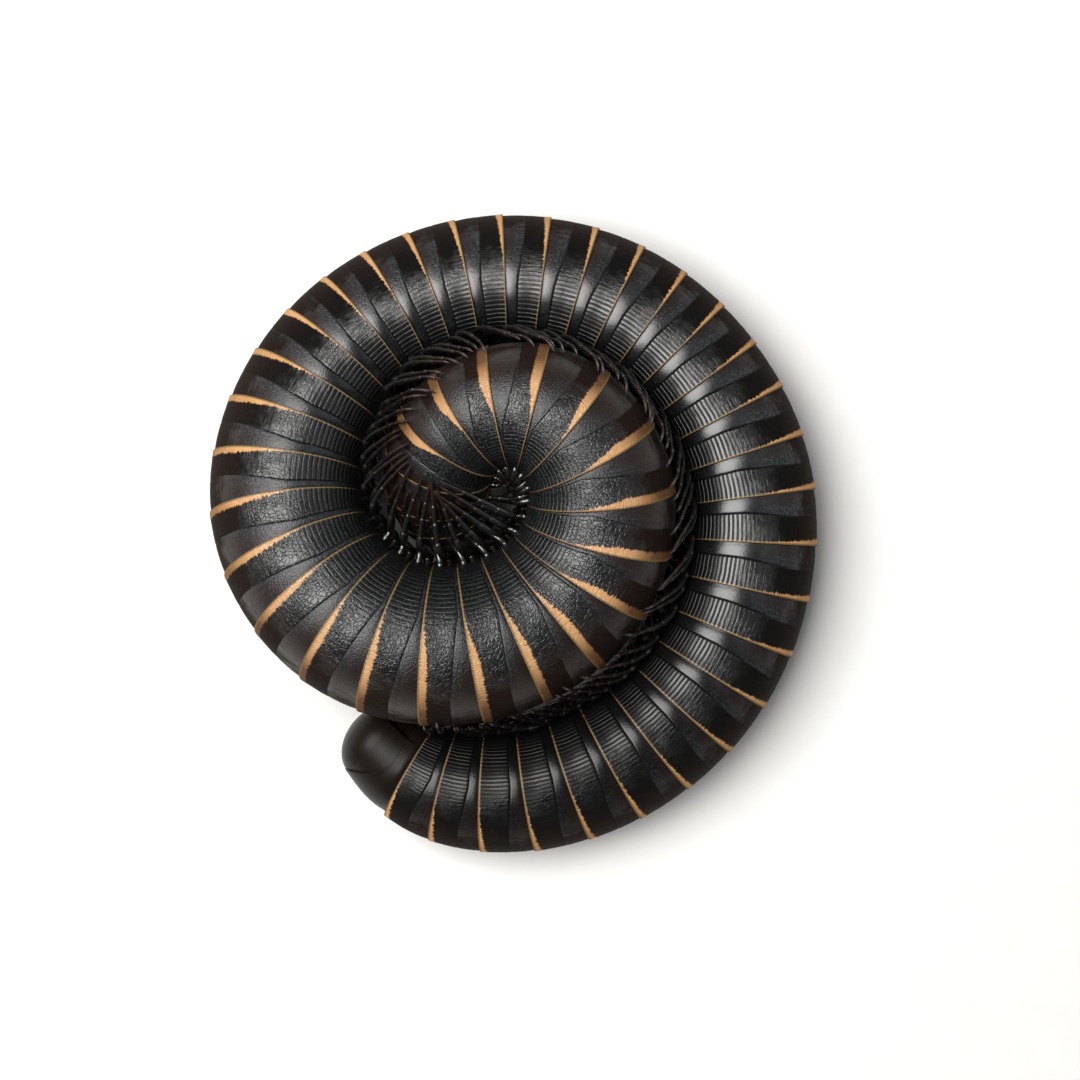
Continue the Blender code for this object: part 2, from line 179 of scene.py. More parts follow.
def ring_grid(first, last, line):
    """Grid of points over rings first to last, (row, place round), with what each point's pattern needs.

    A row's place p from 0 to 1 becomes a share t of the way between two free edges: t runs evenly
    from 0 to the seam's share and on to 1. The seam's share is 1 - rear length / local span, with a
    least value, so rings slide deeper into each other on the belly side, as hard rings must.
    The radius there is the body's, less the line's drop, which shrinks with the body and over the back.
    """
    turn = 2 * math.pi * np.arange(ROUND_COUNT) / ROUND_COUNT
    turn = np.where(turn > math.pi, turn - 2 * math.pi, turn)
    numbers = np.arange(first, last + 1)
    edges = np.arange(first - 1, last + 1)[:, None]
    centre, reach, spoke = ring_outline(edges + 0 * turn, turn + 0 * edges)
    outline = centre + reach[..., None] * spoke
    span = np.linalg.norm(np.diff(outline, axis=0), axis=-1)
    pitch = np.linalg.norm(np.diff(centre[:, 0], axis=0), axis=-1)[:, None]
    rear_share = np.interp(numbers, TURN_RINGS, REAR_SHARES)[:, None]
    least = np.interp(numbers, TURN_RINGS, FRONT_LEAST)[:, None]
    seam = np.clip(1 - rear_share * pitch / span, least, FRONT_MOST)[:, None, :]
    place = np.array([item[0] for item in line])[None, :, None]
    drop = np.array([item[1] for item in line])[None, :, None]
    share = np.where(place < SEAM_PLACE, place / SEAM_PLACE * seam,
                     seam + (place - SEAM_PLACE) / (1 - SEAM_PLACE) * (1 - seam))
    ring = numbers[:, None, None] - 1 + share
    turns = np.broadcast_to(turn, ring.shape)
    centre, reach, spoke = ring_outline(ring, turns)
    rear_part = np.clip((place - SEAM_PLACE) / (1 - SEAM_PLACE), 0, 1)
    uneven = wave_round(turns[:, :1], numbers[:, None, None], EDGE_WAVE) * rear_part
    size = reach / BODY_RADIUS * (1 - BACK_SMOOTHNESS * np.clip(np.cos(turns), 0, 1))
    points = centre + (reach - drop * size + uneven - EDGE_WAVE * rear_part)[..., None] * spoke
    points[..., 2] = np.maximum(points[..., 2], 0.0)
    rows = (len(numbers) * len(line), ROUND_COUNT)
    marks = {
        "ring_place": np.broadcast_to(place, ring.shape).reshape(rows),
        "flank": np.abs(turns).reshape(rows),
        "ring_number": np.broadcast_to(numbers[:, None, None], ring.shape).reshape(rows).astype(float),
        "band_start": band_start(numbers[:, None, None] + 0 * share, turns, pitch[:, None]).reshape(rows),
    }
    return points.reshape(*rows, 3), marks


def band_start(numbers, turns, pitch):
    """Place where the orange edge band starts: 1 less its width, as a share of the part behind the seam.

    The width falls evenly to nothing between the two angles.
    """
    wide = np.interp(numbers, BAND_WIDTH_RINGS, BAND_WIDTHS)
    flank = np.degrees(np.abs(turns))
    full_to = np.interp(numbers, BAND_FADE_RINGS, BAND_FULL_TO)
    gone_by = np.interp(numbers, BAND_FADE_RINGS, BAND_GONE_BY)
    fade = np.clip((flank - full_to) / (gone_by - full_to), 0, 1)
    return 1 - wide * (1 - fade) / (np.interp(numbers, TURN_RINGS, REAR_SHARES) * pitch) * (1 - SEAM_PLACE)


def skin(name, grid, marks):
    """Mesh over round tubes, from points (tube, row, place round) in mm. A fan closes each end.

    Each mark is an array (tube, row, place round), stored on the points for the material to read.
    Faces are turned outwards by the sign of the volume that they enclose.
    """
    tubes, rows, sides = grid.shape[:3]
    index = np.arange(tubes * rows * sides).reshape(tubes, rows, sides)
    after = np.roll(index, -1, axis=2)
    poles = (tubes * rows * sides + np.arange(2 * tubes)).reshape(tubes, 2, 1) + 0 * index[:, :1]
    quads = np.stack((index[:, :-1], after[:, :-1], after[:, 1:], index[:, 1:]), -1).reshape(-1, 4)
    ends = np.concatenate((np.stack((after[:, 0], index[:, 0], poles[:, 0]), -1).reshape(-1, 3),
                           np.stack((index[:, -1], after[:, -1], poles[:, 1]), -1).reshape(-1, 3)))
    points = np.concatenate((grid.reshape(-1, 3), grid[:, (0, -1)].mean(2).reshape(-1, 3))) / 1000
    corner = points[quads]
    cross = np.cross(corner[:, 2] - corner[:, 0], corner[:, 3] - corner[:, 1])
    if np.sum(cross * corner.mean(1)) < 0:
        quads, ends = quads[:, ::-1], ends[:, ::-1]
    mesh = bpy.data.meshes.new(name)
    mesh.vertices.add(len(points))
    mesh.vertices.foreach_set("co", points.astype(np.float32).ravel())
    loops = np.concatenate((quads.ravel(), ends.ravel())).astype(np.int32)
    mesh.loops.add(len(loops))
    mesh.loops.foreach_set("vertex_index", loops)
    starts = np.concatenate((4 * np.arange(len(quads)), quads.size + 3 * np.arange(len(ends))))
    mesh.polygons.add(len(starts))
    mesh.polygons.foreach_set("loop_start", starts.astype(np.int32))
    mesh.update(calc_edges=True)
    for mark, values in marks.items():
        values = values.reshape(tubes, rows, sides)
        values = np.concatenate((values.ravel(), values[:, (0, -1)].mean(2).ravel()))
        mesh.attributes.new(mark, "FLOAT", "POINT").data.foreach_set("value", values.astype(np.float32))
    mesh.shade_smooth()
    mesh.set_sharp_from_angle(angle=math.radians(SHARP_EDGE))
    piece = bpy.data.objects.new(name, mesh)
    bpy.context.scene.collection.objects.link(piece)
    return piece


def linear(code):
    """An sRGB hex colour as linear red, green, blue and alpha."""
    parts = [int(code[i:i + 2], 16) / 255 for i in (1, 3, 5)]
    return [part / 12.92 if part <= 0.04045 else ((part + 0.055) / 1.055) ** 2.4 for part in parts] + [1.0]


def fill(tree, node, sockets):
    """Gives each named socket of a node its link or value. A hex colour is turned to linear."""
    for name, value in sockets.items():
        if isinstance(value, bpy.types.NodeSocket):
            tree.links.new(value, node.inputs[name])
        else:
            node.inputs[name].default_value = linear(value) if isinstance(value, str) else value


def add(tree, kind, sockets, out=0, **settings):
    """Adds a node with its settings, fills its sockets with values or links, and gives one output."""
    made = tree.nodes.new("ShaderNode" + kind)
    for name, value in settings.items():
        setattr(made, name, value)
    fill(tree, made, sockets)
    return made.outputs[out]


def new_surface(name):
    """A new material, its node tree, its shader and the place that its patterns read."""
    surface = bpy.data.materials.new(name)
    surface.use_nodes = True
    tree = surface.node_tree
    return surface, tree, tree.nodes["Principled BSDF"], add(tree, "TexCoord", {}, out="Object")


IN_COLOUR = {"out": 2, "data_type": "RGBA"}
SMOOTH = {"interpolation_type": "SMOOTHSTEP"}
TIMES = {"operation": "MULTIPLY"}
TIMES_PLUS = {"operation": "MULTIPLY_ADD"}
CHITIN_IOR = 1.56
PIT_SIZE = 0.13
GROOVE_STEP = 0.36
PATTERN_SHIFT = 9.7             # from ring to ring, so that no two have the same marks
PIT_DEPTHS = (0.048, 0.018)     # in front of the seam and behind it
WRINKLE_DEPTHS = (0.009, 0.016)  # on the outer turn and on the inner
GROOVE_DEPTH = 0.024
FRINGE_DEPTH = 0.075
SEAM_LINE_WIDTHS = (0.005, 0.012)
SECOND_LINE_PLACE = 0.345
SECOND_LINE_WIDTHS = (0.004, 0.012)


def fill_chitin(tree, shader, colour, rough, level, relief, depth):
    """Fills the shader for cuticle: its IOR, its looks, and a relief with its depth in metres."""
    bump = add(tree, "Bump", {"Height": relief, "Distance": depth, "Strength": 1.0})
    fill(tree, shader, {"Base Color": colour, "Roughness": rough, "Specular IOR Level": level,
                        "IOR": CHITIN_IOR, "Normal": bump})


def wrinkle_cells(tree, flat):
    """Wrinkles: cells 0.35 mm wide and 0.2 mm long, bent by noise. 1 on a cell, 0 in the cracks between."""
    stretched = add(tree, "VectorMath", {0: flat, 1: (1.0, 1.7, 1.0)}, **TIMES)
    bent = add(tree, "TexNoise", {"Vector": flat, "Scale": 1.6, "Detail": 2.0}, out="Color")
    bent = add(tree, "VectorMath", {0: bent, 1: (0.9, 0.9, 0.0)}, **TIMES)
    stretched = add(tree, "VectorMath", {0: stretched, 1: bent}, operation="ADD")
    cells = add(tree, "TexVoronoi", {"Vector": stretched, "Scale": 2.9, "Randomness": 0.9},
                feature="DISTANCE_TO_EDGE")
    return add(tree, "MapRange", {"Value": cells, "From Max": 0.16}, **SMOOTH)


def flank_grooves(tree, round_mm, drift):
    """Lengthwise grooves: a sine of the way round, bent a little by the drift. 1 between them, 0 within."""
    waver = add(tree, "Math", {0: drift, 1: 2.4}, **TIMES)
    phase = add(tree, "Math", {0: round_mm, 1: 2 * math.pi / GROOVE_STEP, 2: waver}, **TIMES_PLUS)
    grooves = add(tree, "Math", {0: phase}, operation="SINE")
    return add(tree, "MapRange", {"Value": grooves, "From Min": -0.95, "From Max": 0.15}, **SMOOTH)


def orange_band(tree, flat, place, band, teeth):
    """The band's mask: 1 where place + 0.14 of the teeth is past its start, with small dots left out."""
    ragged = add(tree, "Math", {0: teeth, 1: 0.14, 2: place}, **TIMES_PLUS)
    ragged = add(tree, "Math", {0: ragged, 1: band}, operation="SUBTRACT")
    in_band = add(tree, "MapRange", {"Value": ragged, "From Min": 0.065, "From Max": 0.085})
    dots = add(tree, "TexVoronoi", {"Vector": flat, "Scale": 2.2, "Randomness": 1.0})
    dots = add(tree, "MapRange", {"Value": dots, "From Min": 0.06, "From Max": 0.12})
    return add(tree, "Math", {0: in_band, 1: dots}, **TIMES)


def dark_lines(tree, place, drift):
    """Lines round the ring, by the distance in place: one at the seam and a paler, wavering one before."""
    seam_far = add(tree, "Math", {0: place, 1: SEAM_PLACE}, operation="SUBTRACT")
    seam_far = add(tree, "Math", {0: seam_far}, operation="ABSOLUTE")
    full, gone = SEAM_LINE_WIDTHS
    seam_line = add(tree, "MapRange", {"Value": seam_far, "From Min": gone, "From Max": full})
    line_far = add(tree, "Math", {0: drift, 1: 0.05, 2: place}, **TIMES_PLUS)
    line_far = add(tree, "Math", {0: line_far, 1: SECOND_LINE_PLACE}, operation="SUBTRACT")
    line_far = add(tree, "Math", {0: line_far}, operation="ABSOLUTE")
    full, gone = SECOND_LINE_WIDTHS
    before = add(tree, "MapRange", {"Value": line_far, "From Min": gone, "From Max": full, "To Max": 0.8})
    return add(tree, "Math", {0: seam_line, 1: before}, operation="MAXIMUM")


def ring_cuticle():
    """Lime-hardened, waxed cuticle: black and glossy behind the seam, slate-grey and matt in front.

    A dielectric with the IOR of chitin. Its patterns are masks of the ring's place, of the angle from the
    back, in radians, and of noise, and each mask mixes in a colour, a roughness or a depth.
    """
    surface, tree, shader, spot = new_surface("waxed_ring_cuticle")
    place, flank, number, band = (add(tree, "Attribute", {}, out="Fac", attribute_name=mark)
                                  for mark in ("ring_place", "flank", "ring_number", "band_start"))
    round_mm = add(tree, "Math", {0: flank, 1: BODY_RADIUS}, **TIMES)
    along_mm = add(tree, "Math", {0: place, 1: RING_LENGTH}, **TIMES)
    apart = add(tree, "Math", {0: number, 1: PATTERN_SHIFT}, **TIMES)
    flat = add(tree, "CombineXYZ", {"X": round_mm, "Y": along_mm, "Z": apart})

    # Fine pits, slow clouds, and a drift and teeth that bend every limit below. The teeth are 0.12 mm wide
    # and 0.8 mm long.
    pits = add(tree, "TexNoise", {"Vector": spot, "Scale": 1000 / PIT_SIZE, "Detail": 2.0, "Roughness": 0.6})
    clouds = add(tree, "TexNoise", {"Vector": spot, "Scale": 1000 / 2.2, "Detail": 3.0})
    drift = add(tree, "TexNoise", {"Vector": flat, "Scale": 0.9, "Detail": 2.0})
    toothed = add(tree, "VectorMath", {0: flat, 1: (8.0, 1.2, 1.0)}, **TIMES)
    teeth = add(tree, "TexNoise", {"Vector": toothed, "Scale": 1.0, "Detail": 2.0, "Roughness": 0.7})
    wrinkles = wrinkle_cells(tree, flat)
    grooves = flank_grooves(tree, round_mm, drift)
    in_band = orange_band(tree, flat, place, band, teeth)
    seams = dark_lines(tree, place, drift)

    # Parts of a ring: behind the seam, low on the flank, where the grooves run, and high, with wrinkles.
    behind = add(tree, "MapRange", {"Value": place, "From Min": 0.415, "From Max": 0.44})
    low_flank = add(tree, "Math", {0: drift, 1: 0.7, 2: flank}, **TIMES_PLUS)
    low_flank = add(tree, "MapRange", {"Value": low_flank, "From Min": 1.55, "From Max": 2.3}, **SMOOTH)
    groove_part = add(tree, "Math", {0: behind, 1: low_flank}, **TIMES)
    high_flank = add(tree, "Math", {0: 1.0, 1: low_flank}, operation="SUBTRACT")
    wrinkle_part = add(tree, "Math", {0: behind, 1: high_flank}, **TIMES)
    inner_whorl = add(tree, "MapRange", {"Value": number, "From Min": 25.0, "From Max": 19.0})
    in_groove = add(tree, "Math", {0: 1.0, 1: grooves}, operation="SUBTRACT")
    in_groove = add(tree, "Math", {0: in_groove, 1: groove_part}, **TIMES)
    # A fringe of short lengthwise strokes before the band.
    fringe = add(tree, "MapRange", {"Value": place, "From Min": 0.50, "From Max": 0.82}, **SMOOTH)
    fringe = add(tree, "Math", {0: fringe, 1: high_flank}, **TIMES)

    # Where the cuticle shines: on the flank. Over the back it is duller, with a jagged limit between.
    in_front = add(tree, "Math", {0: 1.0, 1: behind}, operation="SUBTRACT")
    reach = flank
    for part, weight in ((teeth, 0.55), (drift, 0.45), (inner_whorl, 0.62), (in_front, 0.48)):
        reach = add(tree, "Math", {0: part, 1: weight, 2: reach}, **TIMES_PLUS)
    shine = add(tree, "MapRange", {"Value": reach, "From Min": 1.56, "From Max": 1.94}, **SMOOTH)
    bright_part = add(tree, "MapRange", {"Value": flank, "From Min": 2.7, "From Max": 2.2, "To Min": 0.1})
    groove_dark = add(tree, "MapRange", {"Value": in_groove, "To Min": 1.0, "To Max": 0.4})
    for share in (bright_part, groove_dark):
        shine = add(tree, "Math", {0: shine, 1: share}, **TIMES)
    dimmer = add(tree, "MapRange", {"Value": number, "From Min": 41.0, "From Max": 47.0, "To Min": 0.5,
                                    "To Max": 0.24})
    level = add(tree, "MapRange", {"Value": shine, "To Min": 0.07, "To Max": dimmer})

    # Grounds: pitted slate in front of the seam, darker towards the tail, and black behind it.
    stippled = add(tree, "MapRange", {"Value": flank, "From Min": 1.15, "From Max": 1.5, "To Min": 1.0,
                                      "To Max": 0.2})
    stippled = add(tree, "Mix", {"Factor": inner_whorl, "A": stippled, "B": 1.0}, out="Result")
    speckle = add(tree, "MapRange", {"Value": pits, "From Min": 0.46, "From Max": 0.70})
    fore_speckle = add(tree, "Math", {0: speckle, 1: stippled}, **TIMES)
    aft = add(tree, "MapRange", {"Value": number, "From Min": 40.0, "From Max": 49.0, "To Max": 0.8})
    front_grey = add(tree, "Mix", {0: fore_speckle, 6: "#08090a", 7: "#44484b"}, **IN_COLOUR)
    front_grey = add(tree, "Mix", {0: aft, 6: front_grey, 7: "#080706"}, **IN_COLOUR)
    rear_black = add(tree, "Mix", {0: clouds, 6: "#060606", 7: "#131211"}, **IN_COLOUR)
    rear_grey = add(tree, "Mix", {0: speckle, 6: "#060606", 7: "#303436"}, **IN_COLOUR)
    rear = add(tree, "Mix", {0: inner_whorl, 6: rear_black, 7: rear_grey}, **IN_COLOUR)
    colour = add(tree, "Mix", {0: behind, 6: front_grey, 7: rear}, **IN_COLOUR)

    # Colours laid over them: painted shade on the belly, which faces into the channel between the turns, and
    # in the bottoms of the grooves; the brown front that slides under the ring before, with painted shade in
    # the recess under that ring's free edge; a painted brown reflection over the back, which on the inner
    # turn also browns the orange band; the orange band, its duller rim and the dark lines.
    belly = add(tree, "MapRange", {"Value": flank, "From Min": 2.15, "From Max": 2.6, "To Max": 0.9})
    # Painted shade in the recess under the free edge of the ring before, over the front's own brown.
    tucked = add(tree, "MapRange", {"Value": place, "From Min": 0.30, "From Max": 0.14}, **SMOOTH)
    over_back = add(tree, "MapRange", {"Value": flank, "From Min": 1.7, "From Max": 0.9}, **SMOOTH)
    tucked = add(tree, "Math", {0: tucked, 1: over_back}, **TIMES)
    # A painted brown reflection over the back, its edge wavering with the drift.
    back_edge = add(tree, "Math", {0: drift, 1: 0.5, 2: flank}, **TIMES_PLUS)
    ridge = add(tree, "MapRange", {"Value": back_edge, "From Min": 1.35, "From Max": 0.65, "To Max": 0.85},
                **SMOOTH)
    orange = add(tree, "Mix", {0: clouds, 6: "#b57e4b", 7: "#dfb07c"}, **IN_COLOUR)
    # On the inner turn the band takes the same painted brown reflection towards the back.
    band_brown_reflection = add(tree, "MapRange", {"Value": flank, "From Min": 0.75, "From Max": 0.30, "To Max": 0.85})
    band_brown_reflection = add(tree, "Math", {0: band_brown_reflection, 1: inner_whorl}, **TIMES)
    orange = add(tree, "Mix", {0: band_brown_reflection, 6: orange, 7: "#4c2f1d"}, **IN_COLOUR)
    rim = add(tree, "MapRange", {"Value": place, "From Min": 0.955, "From Max": 0.98})
    rim_part = add(tree, "MapRange", {"Value": flank, "From Min": 2.6, "From Max": 1.9}, **SMOOTH)
    rim = add(tree, "Math", {0: rim, 1: rim_part}, **TIMES)
    # The first four layers are painted light: shade on the belly, in the grooves and in the recess, and a
    # brown reflection over the back.
    layers = ((belly, "#050404"), (in_groove, "#020202"), (tucked, "#170b07"), (ridge, "#1e120b"),
              (in_band, orange), (rim, "#7d6440"), (seams, "#050505"))
    for mask, laid_over in layers:
        colour = add(tree, "Mix", {0: mask, 6: colour, 7: laid_over}, **IN_COLOUR)

    # Roughness: matt in front of the seam, polished behind it, and dull wherever there is no shine.
    polished = add(tree, "MapRange", {"Value": flank, "From Min": 1.0, "From Max": 1.5, "To Min": 0.42,
                                      "To Max": 0.25}, **SMOOTH)
    matt = add(tree, "Mix", {"Factor": inner_whorl, "A": polished, "B": 0.38}, out="Result")
    gloss = add(tree, "MapRange", {"Value": clouds, "To Min": 0.19, "To Max": 0.30})
    gloss = add(tree, "Math", {0: inner_whorl, 1: 0.05, 2: gloss}, **TIMES_PLUS)
    rough = add(tree, "Mix", {"Factor": behind, "A": matt, "B": gloss}, out="Result")
    rough = add(tree, "Mix", {"Factor": shine, "A": 0.75, "B": rough}, out="Result")

    # Relief, in millimetres: each pattern by its own depth.
    before, after = PIT_DEPTHS
    pit_depth = add(tree, "Mix", {"Factor": behind, "A": before, "B": after}, out="Result")
    pit_depth = add(tree, "Math", {0: pit_depth, 1: stippled}, **TIMES)
    outer, inner = WRINKLE_DEPTHS
    wrinkle_depth = add(tree, "Mix", {"Factor": inner_whorl, "A": outer, "B": inner}, out="Result")
    wrinkle_depth = add(tree, "Math", {0: wrinkle_part, 1: wrinkle_depth}, **TIMES)
    groove_depth = add(tree, "Math", {0: groove_part, 1: GROOVE_DEPTH}, **TIMES)
    fringe_depth = add(tree, "Math", {0: fringe, 1: FRINGE_DEPTH}, **TIMES)
    relief = add(tree, "Math", {0: pits, 1: pit_depth}, **TIMES)
    for pattern, depth in ((wrinkles, wrinkle_depth), (grooves, groove_depth), (teeth, fringe_depth)):
        relief = add(tree, "Math", {0: pattern, 1: depth, 2: relief}, **TIMES_PLUS)
    fill_chitin(tree, shader, colour, rough, level, relief, 0.001)
    return surface


ring_surface = ring_cuticle()
last_rings = [start - 1 for start in LENGTH_STARTS[1:]] + [LAST_RING]
for number, (first, last) in enumerate(zip(LENGTH_STARTS, last_rings), 1):
    points, marks = ring_grid(first, last, RING_LINE)
    rings = skin(f"rings_{number:02d}", points[None], marks)
    rings.data.materials.append(ring_surface)
    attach(rings, "root")
    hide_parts(f"trunk_{number:02d}")

# Legs: two pairs to a ring, of thin hard cuticle. Each has six segments, widest just before its
# joints, and a claw. They are folded along the belly and trail back, over and under one another.
SINGLE_PAIR_RINGS = (2, 3, 4)
LAST_LEG_RING = 50
PAIR_PLACES = (0.35, 0.72)  # along the ring
SINGLE_PLACE = 0.6
LEG_ROOT_ANGLE = 6.0     # degrees from the middle of the belly
LEG_ROOT_STAGGER = 7.0   # and how much more on every other pair
LEG_ROOT_DEPTH = 0.9
LEG_ROOT_OUT = 0.35      # how far out of the body a leg's root reaches
LEG_THICKNESS = 0.24
LEG_CLEARANCE = 0.10
# Ring; then for the knee, and for the tip: rise round the body from the belly (degrees), distance out
# from the body (mm) and trail towards the tail (rings); and how far the tip is drawn to its aim.
UPPER_LEGS = (
    (2, 3, 0.5, 0.3, 4, 0.9, 0.8, 0),
    (5, -12, 0.6, 0.3, -22, 1.2, 0.8, 0),
    (7, -24, 0.9, 0.2, -34, 2.0, 0.6, 0),
    (9, -12, 1.0, 0.2, -16, 2.2, 0.5, 0),
    (10, 20, 1.0, 0.2, 20, 3.4, 0.5, 1),
    (18, 24, 1.0, 0.3, 28, 3.6, 1.0, 1),
    (20, 30, 0.8, 0.4, 36, 3.0, 1.6, 1),
    (23, 40, 0.6, 0.5, 44, 2.6, 2.0, 1),
    (25, 50, 0.5, 0.5, 48, 2.4, 2.2, 1),
    (27, 56, 0.5, 0.5, 50, 2.4, 2.1, 1),
    (31, 54, 0.5, 0.5, 50, 2.5, 2.1, 1),
    (35, 51, 0.5, 0.5, 50, 2.5, 2.1, 1),
    (39, 45, 0.5, 0.5, 50, 2.5, 2.0, 1),
    (45, 34, 0.5, 0.5, 44, 3.0, 1.9, 1),
    (50, 34, 0.5, 0.5, 44, 3.0, 1.8, 1),
)
LOWER_LEGS = (
    (2, -30, 0.5, 0.4, -54, 0.9, 0.8, 0),
    (8, -30, 0.5, 0.4, -56, 0.9, 0.8, 0),
    (17, -36, 0.5, 0.7, -66, 0.9, 1.6, 0),
    (30, -22, 0.5, 0.7, -36, 0.9, 1.5, 0),
    (50, -20, 0.5, 0.7, -34, 0.9, 1.4, 0),
)
# The innermost legs reach across the coil and rest their tips on the front rings: ring, and tip's place.
# Further out the tips rest on the edge of the turn within, which they overlap a little.
TIP_AIMS = (
    (10, -5.2, 3.8), (12, -5.8, 3.5), (16, -5.8, 3.5), (17, -6.6, 3.8), (18, -7.1, 4.5), (19, -7.6, 5.1),
    (21, -7.6, 6.3), (22, -7.9, 7.3), (23, -6.3, 8.9), (24, -5.4, 10.2), (25, -4.7, 11.3), (26, -3.5, 12.2),
    (28, -1.7, 12.8),
)
TIP_SPREAD = 0.3
TIP_OVERLAP = 0.6
TIP_REST = 0.1           # a tip's axis lies higher than the clearance by this
LAYERED_RINGS = 19       # the legs of the rings up to here lie in two layers
UNDER_LAYER = 0.55       # how far the lower layer is drawn to its aims, of the rest
UNDER_LAYER_SUNK = 14.0  # and how much less it rises, in degrees
KNEE_SHARE = 0.45        # of the leg's length
ROOT_SHARE = 0.10
CLEAR_ROUNDS = 10        # in which a leg is pushed out of the body
SMOOTH_ROUNDS = 6        # in which a line is smoothed
SEGMENT_ENDS = (0.0, 0.13, 0.27, 0.47, 0.64, 0.79, 0.95)
SEGMENT_RADII = (0.26, 0.25, 0.24, 0.205, 0.165, 0.125)
# Place along a segment, and its radius there as a share of the segment's.
SEGMENT_LINE = ((0.02, 0.91), (0.08, 0.97), (0.35, 0.98), (0.65, 1.0), (0.90, 1.03), (0.97, 0.98))
CLAW_LINE = ((0.952, 0.11), (0.965, 0.085), (0.985, 0.05), (1.0, 0.015))
# How much pale joint skin shows, on each segment and on each row of a segment.
JOINT_ON_SEGMENT = (0.8, 0.8, 0.8, 0.35, 0.2, 0.2)
JOINT_ON_ROW = (0.6, 0.05, 0, 0, 0, 0.35)
LEG_SIDES = 10
LEG_POINTS = 32
NEARLY_UP = (0.02, 0.03, 1.0)  # a tube's first cross axis is square to this


def body_top(places):
    """Height of the body's upper side over places in plan: the most of z + sqrt(radius^2 - distance^2)."""
    rows = route(np.arange(0.0, ROUTE[-1][0] + 0.01, 0.1))
    apart = np.linalg.norm(places[:, None, :2] - rows[:, :2], axis=-1)
    height = rows[:, 2] + np.sqrt(np.clip(rows[:, 3]**2 - apart**2, 0, None))
    return np.max(np.where(apart < rows[:, 3], height, 0), 1)


def edge_within(rings):
    """Place, inward of each ring, that lies TIP_OVERLAP inside the next turn's edge, seen from above."""
    centre, _, _, back, _ = body_frames(rings)
    inward = -unit(back * (1, 1, 0))
    ways_in = np.arange(3.5, 11.0, 0.05)
    places = centre[:, None] + ways_in[:, None] * inward[:, None]
    turn_within = route(np.arange(3.0, 20.0, 0.1))
    apart = np.linalg.norm(places[:, :, None, :2] - turn_within[:, :2], axis=-1) - turn_within[:, 3]
    first = np.argmax(apart.min(-1) < -TIP_OVERLAP, axis=1)
    return places[np.arange(len(rings)), first]


def tip_aims(rings, tip_rings, tips):
    """Where tips rest: at a place between the aims, or on the next turn's edge, and on top of the body."""
    table = np.array(TIP_AIMS, float)
    near_aims = np.stack([np.interp(rings, table[:, 0], table[:, k]) for k in (1, 2)] + [0 * rings], -1)
    aims = np.where(rings[:, None] < table[-1, 0], near_aims, edge_within(tip_rings))
    aims[:, :2] += LUCK.uniform(-TIP_SPREAD, TIP_SPREAD, aims[:, :2].shape)
    aims[:, 2] = np.maximum(body_top(aims) + LEG_CLEARANCE + TIP_REST, tips[:, 2])
    return aims


def push_clear(points):
    """Moves leg axes straight out of the body, to a leg's thickness and clearance from it, and smooths them.

    The two take turns. Smoothing makes a point (the one before + twice itself + the one after) / 4.
    """
    body = route(np.arange(0.0, ROUTE[-1][0] + 0.01, 0.2))
    for turn_number in range(CLEAR_ROUNDS):
        free = points[:, 4:]
        away = free[:, :, None, :] - body[:, :3]
        length = np.linalg.norm(away, axis=-1)
        room = length - body[:, 3]
        worst = np.argmin(room, axis=-1)[..., None]
        gap = np.take_along_axis(room, worst, -1)
        push = np.take_along_axis(away, worst[..., None], 2)[:, :, 0] / np.take_along_axis(length, worst, -1)
        free += push * np.clip(LEG_CLEARANCE + LEG_THICKNESS - gap, 0, None)
        free[..., 2] = np.maximum(free[..., 2], LEG_THICKNESS + LEG_CLEARANCE)
        if turn_number < SMOOTH_ROUNDS:
            points[:, 3:-1] = (points[:, 2:-2] + 2 * points[:, 3:-1] + points[:, 4:]) / 4


